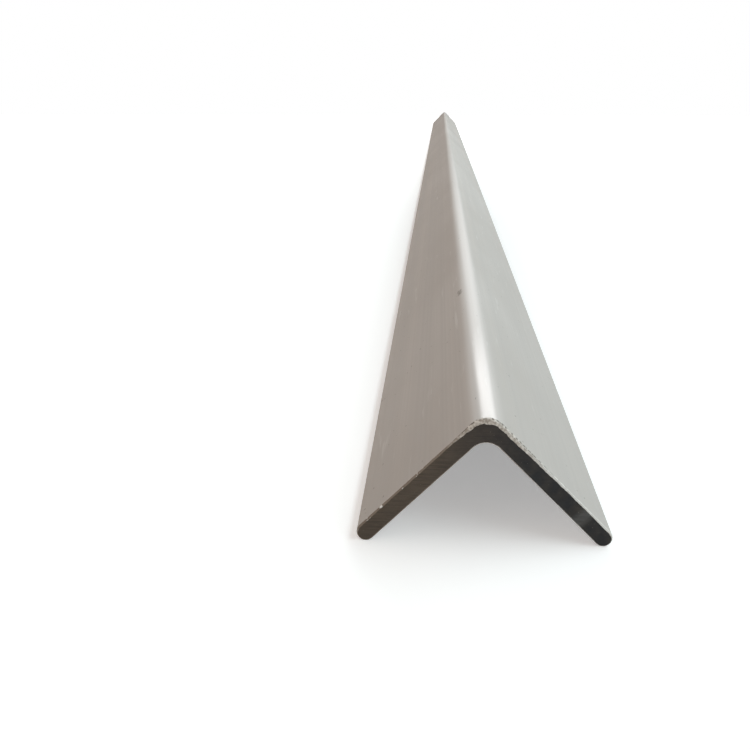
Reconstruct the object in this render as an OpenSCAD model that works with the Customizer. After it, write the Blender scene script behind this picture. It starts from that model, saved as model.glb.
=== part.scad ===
// Plastic corner trim: an extruded equal-leg angle with a rounded heel, a filleted root
// and full-round toes. It lies on its two toes with the heel up, as a loose length does.
// The length runs along Y, Z is up, and the origin is on the floor below the middle of the heel.

/* [Section] */
// Width of each leg, from the sharp outer corner to the tip of the toe
leg_w = 50; // [25:1:100]
// Thickness of the wall, the same in both legs
wall = 5; // [3:0.5:8]
// Radius of the heel, the outside of the corner
heel_r = 6; // [1:0.5:8]
// Radius of the root, the inside of the corner
root_r = 5; // [1:0.5:10]

/* [Length] */
// Length between the two sawn ends
trim_l = 3000; // [500:100:6000]

/* [Hidden] */
$fn = 96;

// The toe is a full round, so its radius follows the wall
toe_r = wall / 2;
// Distance from the sharp outer corner at which a toe starts to round
toe_start = leg_w - toe_r;
// Turn that puts the heel up, from a section drawn with its legs along +X and +Y
heel_up = 225;
// Height of the sharp outer corner when both toes touch the floor
corner_z = leg_w * cos(45) + toe_r;
// How far a cutting shape runs past the surface it cuts
overcut = 1;

// What comes off a sharp corner at the origin to leave an arc between its +X and +Y sides
module corner_waste(radius) {
    difference() {
        translate([-overcut, -overcut])
            square(radius + overcut);
        translate([radius, radius])
            circle(r = radius);
    }
}

// The space between the legs, with the root's arc in its corner
module hollow() {
    translate([wall, wall])
        difference() {
            square(leg_w);
            corner_waste(root_r);
        }
}

// What comes off the square edge of the leg along +X to leave its full-round toe
module toe_waste() {
    difference() {
        translate([toe_start, -overcut])
            square([toe_r + overcut, wall + 2 * overcut]);
        translate([toe_start, toe_r])
            circle(r = toe_r);
    }
}

// The extruded section, with the sharp outer corner at the origin
module section() {
    difference() {
        square(leg_w);
        corner_waste(heel_r);
        hollow();
        toe_waste();
        mirror([1, -1])
            toe_waste();
    }
}

module corner_trim() {
    color("#c4c1bd")
        rotate([90, 0, 0])
            linear_extrude(height = trim_l, center = true)
                translate([0, corner_z])
                    rotate(heel_up)
                        section();
}

corner_trim();
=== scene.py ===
# %% [markdown]
# # A length of plastic corner trim
# The object is one straight length of extruded plastic angle, lying on its two toes with the heel
# up. This lesson dresses the imported model of it: the same section is drawn again with many more
# points, the sawn ends get their torn edges, and each surface gets a finish of its own. The packed
# model is loaded first, and its box is kept for the ends of the length and for the flat map.

# %% Load the imported model
import math

import bmesh
import bpy
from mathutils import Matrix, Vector, noise


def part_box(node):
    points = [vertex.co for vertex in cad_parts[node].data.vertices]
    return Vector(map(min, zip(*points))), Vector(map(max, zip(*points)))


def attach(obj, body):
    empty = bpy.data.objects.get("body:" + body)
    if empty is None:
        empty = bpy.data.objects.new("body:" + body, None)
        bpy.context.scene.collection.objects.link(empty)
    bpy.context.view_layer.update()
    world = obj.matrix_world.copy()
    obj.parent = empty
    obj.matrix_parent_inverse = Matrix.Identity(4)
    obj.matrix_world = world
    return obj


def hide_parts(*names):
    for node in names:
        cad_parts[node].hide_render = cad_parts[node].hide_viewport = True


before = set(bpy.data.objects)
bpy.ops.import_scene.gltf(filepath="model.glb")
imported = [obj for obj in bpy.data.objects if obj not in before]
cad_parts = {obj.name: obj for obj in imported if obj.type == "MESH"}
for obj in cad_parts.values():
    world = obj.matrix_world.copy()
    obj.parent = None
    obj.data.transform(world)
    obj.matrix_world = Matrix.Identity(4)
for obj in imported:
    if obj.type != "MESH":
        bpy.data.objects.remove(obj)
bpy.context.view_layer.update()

MM = 0.001

# %% [markdown]
# ## The sharp section
# The die gives the trim its section: equal legs at a right angle, a rounded heel outside, a fillet
# at the root inside and full-round toes. It could be swept along a curve, but the length is
# straight, so a flat outline that is extruded is enough. The outline starts as an L of six sharp
# corners, placed by how far each lies down a leg and how deep it lies below that leg's outer face.
# Both legs slope at 45 degrees, and slant is the sine of that angle, and its cosine too.

# %% Draw the sharp L
leg = 50 * MM
wall = 5 * MM
toe_radius = wall / 2
slant = math.sqrt(0.5)
corner_height = leg * slant + toe_radius
low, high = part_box("corner_trim")
front_y = low.y
back_y = high.y


def on_leg(side, down, deep):
    """A corner of the front outline. side is 1 for the right leg and -1 for the left one."""
    return Vector((side * (down - deep) * slant, front_y, corner_height - (down + deep) * slant))


trim = bmesh.new()
heel = trim.verts.new(on_leg(1, 0, 0))
root = trim.verts.new(on_leg(1, wall, wall))
right_toe = [trim.verts.new(on_leg(1, leg, 0)), trim.verts.new(on_leg(1, leg, wall))]
left_toe = [trim.verts.new(on_leg(-1, leg, wall)), trim.verts.new(on_leg(-1, leg, 0))]
section = trim.faces.new([heel, *right_toe, root, *left_toe])
print("sharp section:", round(section.calc_area() / MM**2, 2), "mm2")

# %% [markdown]
# ## The round corners
# Melted plastic won't fill or leave a sharp corner, so the die rounds them all. The arcs could be
# worked out point by point, but a vertex bevel does it: at a right angle its offset is the radius
# of the arc. The two bevels of a toe meet at its tip, and their shared point is merged.

# %% Round the heel, the root and the toes
heel_radius = 6 * MM
root_radius = 5 * MM
heel_segments = 20
root_segments = 14
toe_segments = 9
same_point = 0.001 * MM


def round_corners(corners, radius, segments):
    bmesh.ops.bevel(trim, geom=corners, offset=radius, offset_type="OFFSET", segments=segments,
                    profile=0.5, affect="VERTICES", material=-1)


round_corners([heel], heel_radius, heel_segments)
round_corners([root], root_radius, root_segments)
round_corners(right_toe + left_toe, toe_radius, toe_segments)
bmesh.ops.remove_doubles(trim, verts=trim.verts, dist=same_point)
print("rounded section:", round(sum(face.calc_area() for face in trim.faces) / MM**2, 2), "mm2")

# %% [markdown]
# ## The length
# The flats get a point every half millimetre, so that the sawn edge can be torn unevenly later.
# Then the outline is extruded to the other end and cut into short runs, which lets the long faces
# carry the faint waviness that an extrusion keeps from the puller and the cooling bath.

# %% Extrude the section and cut it into runs
length = back_y - front_y
points_on_flat = 72
runs = 100
flats = [edge for edge in trim.edges if edge.calc_length() > 2 * wall]
bmesh.ops.subdivide_edges(trim, edges=flats, cuts=points_on_flat)
pulled = bmesh.ops.extrude_face_region(trim, geom=trim.faces[:])
far_points = [item for item in pulled["geom"] if isinstance(item, bmesh.types.BMVert)]
bmesh.ops.translate(trim, verts=far_points, vec=(0, length, 0))
bmesh.ops.recalc_face_normals(trim, faces=trim.faces)
long_edges = [edge for edge in trim.edges if edge.calc_length() > length / 2]
bmesh.ops.subdivide_edges(trim, edges=long_edges, cuts=runs - 1, use_grid_fill=True)
print("extruded:", len(trim.faces), "faces,", round(trim.calc_volume() / MM**3), "mm3")

# %% [markdown]
# ## The torn rim of the sawn ends
# A saw tears the edge of the plastic as it leaves the cut, so each end is framed by a narrow rough
# rim. It starts as a small bevel of the end's outline. The faces of the rim and of the two cuts are
# given numbers of their own, because they get finishes of their own. Two values are kept with every
# point for the rim's finish: how deep the point lies in the rim, and whether it is on the inside.

# %% Bevel the outline of both ends
SKIN = 0
SAWN = 1
RIM = 2
inner_rim = 0.25 * MM
rim_depth = trim.verts.layers.float.new("rim_depth")
rim_inside = trim.verts.layers.float.new("rim_inside")
sawn_faces = [face for face in trim.faces if abs(face.normal.y) > 0.9]
for face in sawn_faces:
    face.material_index = SAWN
end_edges = [edge for face in sawn_faces for edge in face.edges]
bevelled = bmesh.ops.bevel(trim, geom=end_edges, offset=inner_rim, offset_type="OFFSET", segments=2,
                           profile=0.5, affect="EDGES", material=-1)
for face in bevelled["faces"]:
    face.material_index = RIM
rim_points = {point for face in bevelled["faces"] for point in face.verts}
print("rim:", len(bevelled["faces"]), "faces round both ends")

# %% [markdown]
# ## The width of the rim
# The rim is widest over the heel, where the saw came through last, and thin along the inside. The
# bevel's quarter circle is made larger there: each of its points moves further back along the skin
# and further in across the cut. Noise, which is the same on every run, makes the tear uneven.

# %% Widen and roughen the rim
leg_rim = 0.5 * MM
heel_rim = 1.4 * MM
coarse_tear = 2.3 * MM
fine_tear = 0.7 * MM
unevenness = 0.25
right_fade = 22 * MM
left_fade = 9 * MM
facing_in = -0.2
facing_range = 0.6


def outer_rim(x):
    """Width of the rim on the outside: it narrows down each leg, faster on the left one."""
    fade = right_fade if x > 0 else left_fade
    near_heel = max(0, 1 - abs(x) / fade)
    return leg_rim + (heel_rim - leg_rim) * near_heel


def widen_rim(point):
    """How a rim point moves: the parts that face up grow, and all of the rim is made uneven."""
    into = 1 if point.co.y < 0 else -1
    end_y = front_y if point.co.y < 0 else back_y
    depth = abs(point.co.y - end_y) / inner_rim
    inset = 1 - math.sqrt(max(0, 1 - (1 - depth) ** 2))
    outward = Vector((point.normal.x, 0, point.normal.z)).normalized()
    up = min(1, max(0, (outward.z - facing_in) / facing_range))
    point[rim_depth] = depth
    point[rim_inside] = 1 - up
    uneven = unevenness * (noise.noise(point.co / coarse_tear) + noise.noise(point.co / fine_tear))
    grow = (outer_rim(point.co.x) - inner_rim) * up * (1 + uneven) + inner_rim * uneven / 2
    return Vector((0, into * grow * depth, 0)) - outward * grow * inset


trim.normal_update()
moves = {point: widen_rim(point) for point in rim_points}
for point, move in moves.items():
    point.co += move
print("rim widened by up to", round(max(move.length for move in moves.values()) / MM, 2), "mm")

# %% [markdown]
# ## Waviness
# No extrusion is dead flat. A tenth of a millimetre of slow waviness along the length is enough to
# bend the reflections a little, and it is too small to change any size. It dies out towards the
# toes, which stay on the floor.

# %% Wave the long faces
waviness = 0.1 * MM
waves_along = 6
waves_across = 25
toe_zone = 10 * MM
trim.normal_update()
for point in trim.verts:
    if point not in rim_points:
        slow = Vector((point.co.x * waves_across, point.co.y * waves_along, point.co.z * waves_across))
        outward = Vector((point.normal.x, 0, point.normal.z))
        above_toe = min(1, point.co.z / toe_zone)
        point.co += outward * noise.noise(slow) * waviness * above_toe
print("waved by up to", waviness / MM, "mm")

# %% [markdown]
# ## A flat map
# The finishes below need no flat map, but they can be painted onto one.
# Left to itself, that map would give almost all of its room to the long faces. Four flat views
# share it out better: the outside from above, the inside from below, and each sawn end by itself.
# A view is given by its two axes, and by the left, bottom, width and height of its part of the map.

# %% Lay the faces out flat
X = 0
Y = 1
Z = 2
outside = (X, Y, 0.005, 0.005, 0.39, 0.99)
inside = (X, Y, 0.405, 0.005, 0.39, 0.99)
front_end = (Z, X, 0.805, 0.005, 0.19, 0.49)
back_end = (Z, X, 0.805, 0.505, 0.19, 0.49)
flat_map = trim.loops.layers.uv.new("OFBake")
box_size = high - low


def lay_flat(place, across, upwards, left, bottom, width, height):
    """A point's place on the map: seen flat along two axes, and put into one part of the map."""
    u = (place[across] - low[across]) / box_size[across]
    v = (place[upwards] - low[upwards]) / box_size[upwards]
    return (left + width * min(1, max(0, u)), bottom + height * min(1, max(0, v)))


for face in trim.faces:
    if face.material_index == SKIN:
        view = outside if face.normal.z > 0 else inside
    else:
        view = front_end if face.calc_center_median().y < 0 else back_end
    for loop in face.loops:
        loop[flat_map].uv = lay_flat(loop.vert.co, *view)
print("flat map of", len(trim.faces), "faces")

# %% [markdown]
# ## The finished mesh
# Doubles are merged and the normals are worked out once more, so that every face points outwards.
# The skin is shaded smooth, and the edges where it meets the rim and the cut stay sharp. The piece
# rides on the model's only body, and the model's only node is hidden.

# %% Make the piece
bmesh.ops.remove_doubles(trim, verts=trim.verts, dist=same_point)
bmesh.ops.recalc_face_normals(trim, faces=trim.faces)
for face in trim.faces:
    face.smooth = face.material_index == SKIN
for edge in trim.edges:
    edge.smooth = len({face.material_index for face in edge.link_faces}) == 1
print("closed:", all(edge.is_manifold for edge in trim.edges), round(trim.calc_volume() / MM**3), "mm3")
trim_mesh = bpy.data.meshes.new("corner_trim_skin")
trim.to_mesh(trim_mesh)
trim.free()
trim_piece = bpy.data.objects.new("corner_trim_skin", trim_mesh)
bpy.context.scene.collection.objects.link(trim_piece)
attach(trim_piece, "root")
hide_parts("corner_trim")
print("trim mesh:", len(trim_mesh.vertices), "points,", len(trim_mesh.polygons), "faces")

# %% [markdown]
# ## Helpers for the finishes
# All three finishes read the piece's own Object coordinates, so a pattern stays where it is on the
# trim. A few small helpers keep the node trees short. The first ones start a material, add a noise
# pattern that can be drawn out along the length, and stretch a pattern into a mask.


# %% Colours, patterns and masks
def srgb(red, green, blue):
    """A colour read as 0 to 255 on screen, as the linear values that a shader takes."""
    def linear(value):
        value /= 255
        return value / 12.92 if value <= 0.04045 else ((value + 0.055) / 1.055) ** 2.4
    return (linear(red), linear(green), linear(blue), 1)


def start_material(name):
    """A new material on the trim. They are made in the order of their numbers: SKIN, SAWN, RIM."""
    material = bpy.data.materials.new(name)
    material.use_nodes = True
    trim_mesh.materials.append(material)
    return material.node_tree, material.node_tree.nodes["Principled BSDF"]


def noise_pattern(tree, frequency, detail=3, offset=0):
    """Noise with its own number of features per metre along X, Y and Z."""
    place = tree.nodes.new("ShaderNodeTexCoord")
    mapping = tree.nodes.new("ShaderNodeMapping")
    mapping.inputs["Scale"].default_value = frequency
    mapping.inputs["Location"].default_value = (offset, offset, offset)
    tree.links.new(place.outputs["Object"], mapping.inputs["Vector"])
    pattern = tree.nodes.new("ShaderNodeTexNoise")
    pattern.inputs["Scale"].default_value = 1
    pattern.inputs["Detail"].default_value = detail
    tree.links.new(mapping.outputs["Vector"], pattern.inputs["Vector"])
    return pattern.outputs["Fac"]


def remap(tree, value, low_in, high_in, low_out=0.0, high_out=1.0):
    """A value stretched from one range to another and held inside it."""
    node = tree.nodes.new("ShaderNodeMapRange")
    ranges = {"From Min": low_in, "From Max": high_in, "To Min": low_out, "To Max": high_out}
    for name, number in ranges.items():
        node.inputs[name].default_value = number
    tree.links.new(value, node.inputs["Value"])
    return node.outputs["Result"]


print("helpers for colours and patterns are ready")

# %% [markdown]
# The next helpers put patterns to use. They mix two colours by a mask, do a sum with two values, and
# turn a pattern into relief. A colour or a value can be plain, or the output of another node. The
# mix node has sockets of several kinds, and those for colour are found by their numbers.


# %% Mixes, sums and relief
FIRST_COLOUR = 6
SECOND_COLOUR = 7
MIXED_COLOUR = 2


def mix_colours(tree, share, first, second):
    """first where share is 0, second where it is 1. Each is a colour or another node's output."""
    node = tree.nodes.new("ShaderNodeMix")
    node.data_type = "RGBA"
    tree.links.new(share, node.inputs["Factor"])
    for number, colour in ((FIRST_COLOUR, first), (SECOND_COLOUR, second)):
        socket = node.inputs[number]
        if isinstance(colour, tuple):
            socket.default_value = colour
        else:
            tree.links.new(colour, socket)
    return node.outputs[MIXED_COLOUR]


def combine(tree, operation, first, second=0.0):
    node = tree.nodes.new("ShaderNodeMath")
    node.operation = operation
    for socket, value in zip(node.inputs, (first, second)):
        if isinstance(value, (int, float)):
            socket.default_value = value
        else:
            tree.links.new(value, socket)
    return node.outputs["Value"]


def add_bump(tree, shader, height, depth):
    node = tree.nodes.new("ShaderNodeBump")
    node.inputs["Distance"].default_value = depth
    tree.links.new(height, node.inputs["Height"])
    tree.links.new(node.outputs["Normal"], shader.inputs["Normal"])


print("helpers for mixes, sums and relief are ready")

# %% [markdown]
# The last helpers say where a point lies on the trim: along one direction, from the middle of an
# oval spot, or by a value that the mesh keeps with its points.


# %% Places on the trim
def along(tree, direction):
    """How far a point lies along a direction, in metres from the piece's origin."""
    place = tree.nodes.new("ShaderNodeTexCoord")
    node = tree.nodes.new("ShaderNodeVectorMath")
    node.operation = "DOT_PRODUCT"
    node.inputs[1].default_value = direction
    tree.links.new(place.outputs["Object"], node.inputs[0])
    return node.outputs["Value"]


def spot(tree, centre, reach):
    """0 at the middle of an oval spot and 1 at its edge."""
    place = tree.nodes.new("ShaderNodeTexCoord")
    mapping = tree.nodes.new("ShaderNodeMapping")
    mapping.inputs["Scale"].default_value = [1 / extent for extent in reach]
    mapping.inputs["Location"].default_value = [-middle / extent for middle, extent in zip(centre, reach)]
    tree.links.new(place.outputs["Object"], mapping.inputs["Vector"])
    node = tree.nodes.new("ShaderNodeVectorMath")
    node.operation = "LENGTH"
    tree.links.new(mapping.outputs["Vector"], node.inputs[0])
    return node.outputs["Value"]


def kept_value(tree, layer_name):
    node = tree.nodes.new("ShaderNodeAttribute")
    node.attribute_name = layer_name
    return node.outputs["Fac"]


print("helpers for places are ready")

# %% [markdown]
# ## The extruded skin
# Rigid plastic leaves the die with a light grey satin skin. Fine lines and broad faint bands run
# along the length, drawn by the lips of the die, so their noise is stretched a thousandfold along Y.
# Handling adds cloudy patches, a few dark specks and long faint scuffs, most of them on the toes.

# %% Colour the skin
skin, skin_shader = start_material("trim_skin")
clouds = noise_pattern(skin, (14, 5, 14), detail=4)
bands = noise_pattern(skin, (110, 0.3, 110), detail=2, offset=1)
die_lines = noise_pattern(skin, (900, 1.5, 900), detail=2, offset=3)
scuffs = noise_pattern(skin, (420, 26, 420), detail=4, offset=7)
toe_wear = remap(skin, along(skin, (0, 0, 1)), 5 * MM, 1 * MM, 0.0, 0.1)
scuffs = combine(skin, "ADD", scuffs, toe_wear)
specks = noise_pattern(skin, (700, 420, 700), detail=1, offset=11)
plastic = mix_colours(skin, remap(skin, clouds, 0.35, 0.65), srgb(190, 184, 178), srgb(202, 197, 192))
plastic = mix_colours(skin, remap(skin, bands, 0.35, 0.65, 0.0, 0.5), plastic, srgb(187, 183, 179))
plastic = mix_colours(skin, remap(skin, die_lines, 0.3, 0.7, 0.0, 0.35), plastic, srgb(182, 177, 172))
plastic = mix_colours(skin, remap(skin, scuffs, 0.64, 0.74, 0.0, 0.4), plastic, srgb(220, 218, 215))
plastic = mix_colours(skin, remap(skin, specks, 0.75, 0.79, 0.0, 0.5), plastic, srgb(100, 92, 84))
print("skin patterns:", len(skin.nodes), "nodes")

# %% [markdown]
# One dark smudge sits beside the heel a hand's width from the front end. It is an oval spot whose
# edge is broken up by noise. The faces are nearly matt, more so in the clouds and scuffs, and the
# heel, which rubs on everything, is polished: most of all near the front end, by which the length
# has been drawn, and less and less behind it. The relief is the die lines with a fine grain on top.

# %% Smudge the skin and set its gloss and relief
smudge_place = (-3.8 * MM, front_y + 173 * MM, 33 * MM)
smudge_reach = (1.5 * MM, 6 * MM, 2 * MM)
smudge = spot(skin, smudge_place, smudge_reach)
ragged = noise_pattern(skin, (1200, 500, 1200), detail=3, offset=13)
smudge = combine(skin, "ADD", smudge, remap(skin, ragged, 0.3, 0.7, -0.35, 0.35))
plastic = mix_colours(skin, remap(skin, smudge, 1.1, 0.4, 0.0, 0.6), plastic, srgb(92, 82, 72))
skin.links.new(plastic, skin_shader.inputs["Base Color"])
cloudy = remap(skin, clouds, 0.3, 0.7, 0.88, 0.92)
dull = combine(skin, "ADD", cloudy, remap(skin, scuffs, 0.6, 0.75, 0.0, 0.06))
lengthwise = along(skin, (0, 1, 0))
rubbed = remap(skin, lengthwise, front_y + 150 * MM, front_y + 1100 * MM, -0.43, -0.14)
handled = remap(skin, lengthwise, front_y + 40 * MM, front_y + 110 * MM, -0.16, 0.0)
heel_foot = 32 * MM
heel_top = 35 * MM
on_heel = remap(skin, along(skin, (0, 0, 1)), heel_foot, heel_top)
polish = combine(skin, "MULTIPLY", on_heel, combine(skin, "ADD", rubbed, handled))
skin.links.new(combine(skin, "ADD", dull, polish), skin_shader.inputs["Roughness"])
skin_shader.inputs["Specular IOR Level"].default_value = 0.15
grain = noise_pattern(skin, (2600, 1800, 2600), detail=2, offset=5)
relief = combine(skin, "ADD", die_lines, combine(skin, "MULTIPLY", grain, 0.35))
add_bump(skin, skin_shader, relief, 0.02 * MM)
print("skin:", len(skin.nodes), "nodes")

# %% [markdown]
# ## The sawn face
# The blade leaves a dull, dark face with fine marks across it and dust rubbed into it. Part of its
# darkness is painted shade, as the end faces away from the lamps. Its brown down the left leg and
# slate down the right one are painted shade, and the paler band across the right leg is painted
# light beside the edge of a shade. The change of colour goes by X, and the band by the distance
# down the right leg.

# %% Make the sawn face's finish
sawn, sawn_shader = start_material("sawn_end")
dust = noise_pattern(sawn, (260, 260, 260), detail=5, offset=2)
teeth = noise_pattern(sawn, (150, 150, 2600), detail=3, offset=9)
flecks = noise_pattern(sawn, (1900, 1900, 1900), detail=2, offset=4)
sideways = along(sawn, (1, 0, 0))
down_right_leg = along(sawn, (slant, 0, -slant))
lit_band_place = 12.5 * MM
from_lit_band = combine(sawn, "ABSOLUTE", combine(sawn, "SUBTRACT", down_right_leg, lit_band_place))
# The sawn face's own dark tone with painted shade: brown down the left leg, slate down the right.
sawn_tone_and_shade = mix_colours(sawn, remap(sawn, sideways, -15 * MM, -1 * MM), srgb(91, 80, 69), srgb(60, 54, 50))
sawn_tone_and_shade = mix_colours(sawn, remap(sawn, sideways, 0, 10 * MM), sawn_tone_and_shade, srgb(38, 39, 41))
# The paler band across the right leg is painted light.
sawn_tone_and_shade = mix_colours(sawn, remap(sawn, from_lit_band, 2.4 * MM, 0.8 * MM, 0.0, 0.75), sawn_tone_and_shade, srgb(98, 98, 97))
sawn_tone_and_shade = mix_colours(sawn, remap(sawn, dust, 0.4, 0.75, 0.0, 0.35), sawn_tone_and_shade, srgb(103, 95, 87))
sawn_tone_and_shade = mix_colours(sawn, remap(sawn, teeth, 0.45, 0.7, 0.0, 0.4), sawn_tone_and_shade, srgb(42, 39, 37))
sawn_tone_and_shade = mix_colours(sawn, remap(sawn, flecks, 0.7, 0.76, 0.0, 0.6), sawn_tone_and_shade, srgb(138, 131, 123))
sawn.links.new(sawn_tone_and_shade, sawn_shader.inputs["Base Color"])
sawn.links.new(remap(sawn, dust, 0.3, 0.7, 0.6, 0.8), sawn_shader.inputs["Roughness"])
sawn_shader.inputs["Specular IOR Level"].default_value = 0.25
add_bump(sawn, sawn_shader, teeth, 0.08 * MM)
print("sawn end:", len(sawn.nodes), "nodes")

# %% [markdown]
# ## The torn rim
# Where the plastic was stretched before it tore it has gone pale, and the saw's dust sits in the
# pits. The pale colour is partly painted light as well, for the light that the rim's bevel catches.
# Over the heel the rim is a blotchy beige, with a dark broken line of painted shadow, cast by the
# burr, where it meets the skin.
# Down the right leg it is a thin pale line, and down the left one it is brown, with a few painted
# glints. The inside of the left leg keeps a thin paler edge.

# %% Make the torn rim's finish
rim, rim_shader = start_material("torn_rim")
pits = noise_pattern(rim, (1200, 1200, 1200), detail=4, offset=6)
tears = noise_pattern(rim, (420, 420, 420), detail=3, offset=8)
from_heel = along(rim, (1, 0, 0))
# Pale torn plastic, partly painted light for the light that the rim's bevel catches.
torn = mix_colours(rim, remap(rim, pits, 0.36, 0.62), srgb(160, 148, 136), srgb(218, 210, 201))
torn = mix_colours(rim, remap(rim, from_heel, 8 * MM, 18 * MM, 0.0, 0.75), torn, srgb(228, 226, 222))
# A dark broken line along the skin: a painted shadow of the burr.
by_the_skin = remap(rim, kept_value(rim, "rim_depth"), 0.4, 0.8)
painted_burr_shadow = combine(rim, "MULTIPLY", by_the_skin, remap(rim, pits, 0.6, 0.45))
painted_burr_shadow = combine(rim, "MULTIPLY", painted_burr_shadow, remap(rim, from_heel, 24 * MM, 12 * MM))
torn = mix_colours(rim, painted_burr_shadow, torn, srgb(104, 96, 88))
# Brown down the left leg, with bright specks that are painted glints.
brown_and_painted_glints = mix_colours(rim, remap(rim, tears, 0.6, 0.66), srgb(122, 107, 93), srgb(240, 236, 230))
torn = mix_colours(rim, remap(rim, from_heel, -5 * MM, -11 * MM), torn, brown_and_painted_glints)
on_the_left = remap(rim, from_heel, -1 * MM, -6 * MM)
inner_edge = combine(rim, "MULTIPLY", kept_value(rim, "rim_inside"), on_the_left)
torn = mix_colours(rim, inner_edge, torn, srgb(176, 164, 154))
rim.links.new(torn, rim_shader.inputs["Base Color"])
rim.links.new(remap(rim, pits, 0.3, 0.7, 0.65, 0.45), rim_shader.inputs["Roughness"])
add_bump(rim, rim_shader, pits, 0.12 * MM)
print("torn rim:", len(rim.nodes), "nodes")

# %% [markdown]
# ## The floor
# The trim lies on a plain white sheet. It could be one large plane with a horizon, but a sheet that
# ends just behind the trim and melts into a white sky shows nothing but the shadow.

# %% Lay the floor
sheet_half = 3.0
sheet_middle = -0.7
sheet = bmesh.new()
bmesh.ops.create_grid(sheet, x_segments=1, y_segments=1, size=sheet_half)
bmesh.ops.translate(sheet, verts=sheet.verts, vec=(0, sheet_middle, 0))
floor_mesh = bpy.data.meshes.new("studio_floor")
sheet.to_mesh(floor_mesh)
sheet.free()
floor = bpy.data.objects.new("studio_floor", floor_mesh)
bpy.context.scene.collection.objects.link(floor)
print("floor:", 2 * sheet_half, "m square")

# %% [markdown]
# ## White paper
# The lamps leave the sheet a light grey, so camera and mirror rays see it lifted: a little beside
# the trim, where the shadow falls, and fully towards the edges. The lift lights nothing, because
# the rays that carry light from surface to surface don't see it.


# %% Make the paper
def seen_rays(tree):
    """1 for the rays that show the background itself: from the camera, a mirror or a clear body."""
    path = tree.nodes.new("ShaderNodeLightPath")
    either = combine(tree, "MAXIMUM", path.outputs["Is Camera Ray"], path.outputs["Is Glossy Ray"])
    return combine(tree, "MAXIMUM", either, path.outputs["Is Transmission Ray"])


white = (1, 1, 1, 1)
paper_grey = (0.82, 0.82, 0.82, 1)
lift_middle = (0, -0.9, 0)
lift_reach = (1.0, 6.0, 1.0)
lift_at_trim = 0.28
lift_at_edge = 1.0
paper = bpy.data.materials.new("white_paper")
paper.use_nodes = True
floor_mesh.materials.append(paper)
paper_tree = paper.node_tree
paper_shader = paper_tree.nodes["Principled BSDF"]
paper_shader.inputs["Base Color"].default_value = paper_grey
paper_shader.inputs["Roughness"].default_value = 0.9
paper_shader.inputs["Specular IOR Level"].default_value = 0
paper_shader.inputs["Emission Color"].default_value = white
from_trim = spot(paper_tree, lift_middle, lift_reach)
lift = remap(paper_tree, from_trim, 0.03, 0.5, lift_at_trim, lift_at_edge)
lift = combine(paper_tree, "MULTIPLY", seen_rays(paper_tree), lift)
paper_tree.links.new(lift, paper_shader.inputs["Emission Strength"])
print("paper:", len(paper_tree.nodes), "nodes")

# %% [markdown]
# ## The sky
# The same rays see a white sky. All other rays see a dim warm one, which fills the shadows and warms
# the sawn end.

# %% Light the sky
warm = (1.0, 0.85, 0.75, 1)
dim = 0.25
bright = 1.0
sky = bpy.data.worlds.new("white_sky")
bpy.context.scene.world = sky
sky.use_nodes = True
sky_tree = sky.node_tree
background = sky_tree.nodes["Background"]
shown = seen_rays(sky_tree)
sky_tree.links.new(mix_colours(sky_tree, shown, warm, white), background.inputs["Color"])
sky_tree.links.new(remap(sky_tree, shown, 0, 1, dim, bright), background.inputs["Strength"])
print("sky:", len(sky_tree.nodes), "nodes")

# %% [markdown]
# ## The lamps
# A soft lamp hangs over the right side and a weaker, warmer one over the left side. Both are longer
# than the trim, so that the faces are lit evenly from end to end. A third, larger lamp stands far
# behind the far end. Seen from the front, the rubbed heel mirrors it as a bright line.


# %% Hang the lamps
def hang_lamp(name, place, aim, width, height, watts, colour):
    data = bpy.data.lights.new(name, "AREA")
    data.shape = "RECTANGLE"
    data.size = width
    data.size_y = height
    data.energy = watts
    data.color = colour
    lamp = bpy.data.objects.new(name, data)
    lamp.location = place
    lamp.rotation_euler = (Vector(aim) - Vector(place)).to_track_quat("-Z", "Y").to_euler()
    bpy.context.scene.collection.objects.link(lamp)
    print(name, watts, "W")


hang_lamp("right_lamp", place=(1.8, -1.0, 2.0), aim=(0, -1.1, 0), width=6.0, height=1.4,
          watts=86, colour=(0.8, 0.95, 1.0))
hang_lamp("left_lamp", place=(-1.6, -1.0, 1.3), aim=(0, -1.0, 0), width=6.0, height=1.0,
          watts=16.5, colour=(1.0, 0.89, 0.81))
hang_lamp("heel_lamp", place=(1.5, 10.0, 3.9), aim=(0, -1.3, 0.03), width=5.4, height=2.6,
          watts=300, colour=(1.0, 1.0, 1.0))

# %% [markdown]
# ## The camera
# The camera stands a quarter of a metre in front of the sawn end, a little left of the heel. It
# looks down along the length and is turned slightly to the left, so the length runs away to a point
# high in the picture. The lens is given by its length in pixels of the picture.

# %% Place the camera
focal_pixels = 1000
picture_pixels = 750
turn_left = math.radians(3.6)
look_down = math.radians(16.2)
left_of_heel = 13.7 * MM
before_end = 247.7 * MM
eye_height = 118.9 * MM
camera_data = bpy.data.cameras.new("camera")
camera_data.sensor_width = 36
camera_data.lens = camera_data.sensor_width * focal_pixels / picture_pixels
camera_data.clip_start = 0.01
camera_data.clip_end = 200
camera = bpy.data.objects.new("camera", camera_data)
camera.location = (-left_of_heel, front_y - before_end, eye_height)
camera.rotation_euler = (math.radians(90) - look_down, 0, turn_left)
bpy.context.scene.collection.objects.link(camera)
bpy.context.scene.camera = camera
bpy.context.scene.view_settings.view_transform = "Standard"
print("lens:", round(camera_data.lens, 1), "mm")
